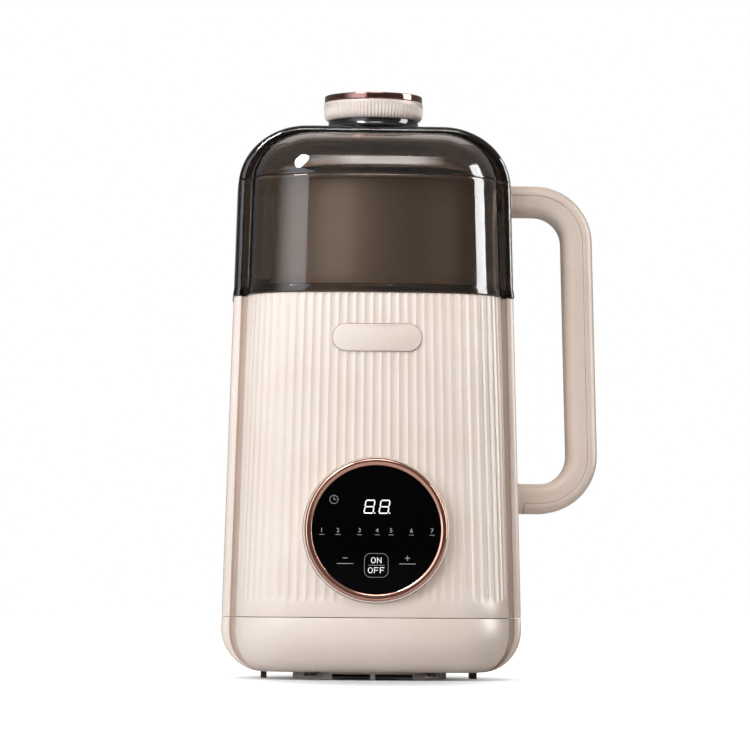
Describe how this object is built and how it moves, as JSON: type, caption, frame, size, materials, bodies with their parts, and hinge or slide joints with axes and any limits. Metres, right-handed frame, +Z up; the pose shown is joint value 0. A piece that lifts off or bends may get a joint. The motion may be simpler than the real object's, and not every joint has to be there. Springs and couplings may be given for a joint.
{
  "type": "soy milk maker",
  "caption": "Tall countertop soy milk maker with a fluted front, a round control panel, a smoked dome, a lift-off lid with a twist knob, a side handle and a spinning blade.",
  "frame": {"origin": "middle of the whole machine, handle included, on the table under it", "axes": "+Z up, the fluted front with its panel faces -Y, the handle is on the +X side; the cup, the motor and the knob share one vertical axis at x = -0.0210 m, y = +0.0026 m"},
  "size_m": [0.2006, 0.1442, 0.3123],
  "materials": {
    "black_rubber": "matt black rubber",
    "blade_steel": "stamped and ground stainless steel",
    "board_green": "green lacquered laminate",
    "brass_parts": "turned brass",
    "bright_steel": "turned stainless steel",
    "cast_aluminium": "cast, as moulded",
    "cream_handle": "warm cream, satin gloss moulding",
    "cream_shell": "warm cream, satin gloss moulding",
    "cream_trim": "warm cream rim of the panel tub",
    "cup_steel": "drawn stainless steel, finely brushed",
    "dark_plastic": "dark brown black, satin",
    "gloss_black": "black, high gloss",
    "inlet_black": "black, satin",
    "inner_black": "black, satin",
    "knob_cream": "warm cream moulding",
    "panel_black": "black window, high gloss",
    "plate_cream": "cream, slightly brighter, bare",
    "plated_steel": "zinc plated steel",
    "rose_gold": "polished, rose gold plated",
    "seal_black": "glossy dark silicone",
    "smoked_plastic": "clear plastic, smoked brown, glossy",
    "winding_copper": "lacquered copper winding"
  },
  "bodies": {
    "housing": {"base_shell": "cream_shell", "front_shell": "cream_shell", "rear_shell": "cream_shell", "upper_shell": "smoked_plastic", "cup": "cup_steel", "cup_collar": "dark_plastic", "temperature_probe": "bright_steel", "overflow_probe": "bright_steel", "heater_plate": "cast_aluminium", "motor_frame": "cast_aluminium", "motor_can": "plated_steel", "motor_stator": "winding_copper", "motor_end_plate": "cast_aluminium", "upper_bearing": "bright_steel", "lower_bearing": "bright_steel", "shaft_bush": "bright_steel", "bush_nut": "brass_parts", "shaft_seal": "black_rubber", "shaft_sleeve": "brass_parts", "panel_tub": "cream_trim", "panel_bezel": "rose_gold", "panel_glass": "panel_black", "display_module": "dark_plastic", "control_board": "board_green", "name_plate": "plate_cream", "bottom_screw_1": "plated_steel", "bottom_screw_2": "plated_steel", "bottom_screw_3": "plated_steel", "bottom_screw_4": "plated_steel", "foot_left": "black_rubber", "foot_right": "black_rubber", "power_board": "board_green", "power_inlet": "inlet_black", "handle_inner": "cream_handle", "handle_cover": "cream_handle", "handle_screw_top": "plated_steel", "handle_screw_low": "plated_steel"},
    "lid": {"lid_cover": "smoked_plastic", "knob_collar": "gloss_black"},
    "knob": {"knob_grip": "knob_cream", "knob_ring": "rose_gold", "knob_cap": "knob_cream", "knob_spindle": "bright_steel", "lid_screw": "plated_steel", "inner_lid": "inner_black", "lid_gasket": "seal_black"},
    "rotor": {"motor_shaft": "bright_steel", "motor_rotor": "plated_steel", "cooling_fan": "dark_plastic", "blade_hub": "bright_steel", "blade_lower": "blade_steel", "blade_upper": "blade_steel", "blade_nut": "bright_steel"}
  },
  "joints": [
    {"name": "lid_lift", "type": "slide", "parent": "housing", "child": "lid", "axis": [0, 0, 1], "range_m": [0, 0.06]},
    {"name": "knob_turn", "type": "hinge", "parent": "lid", "child": "knob", "pos_m": [-0.02096, 0.00255, 0.3], "axis": [0, 0, -1], "range_deg": [0, 40]},
    {"name": "blade_spin", "type": "hinge", "parent": "housing", "child": "rotor", "pos_m": [-0.02096, 0.00255, 0.14], "axis": [0, 0, 1], "continuous": true}
  ]
}
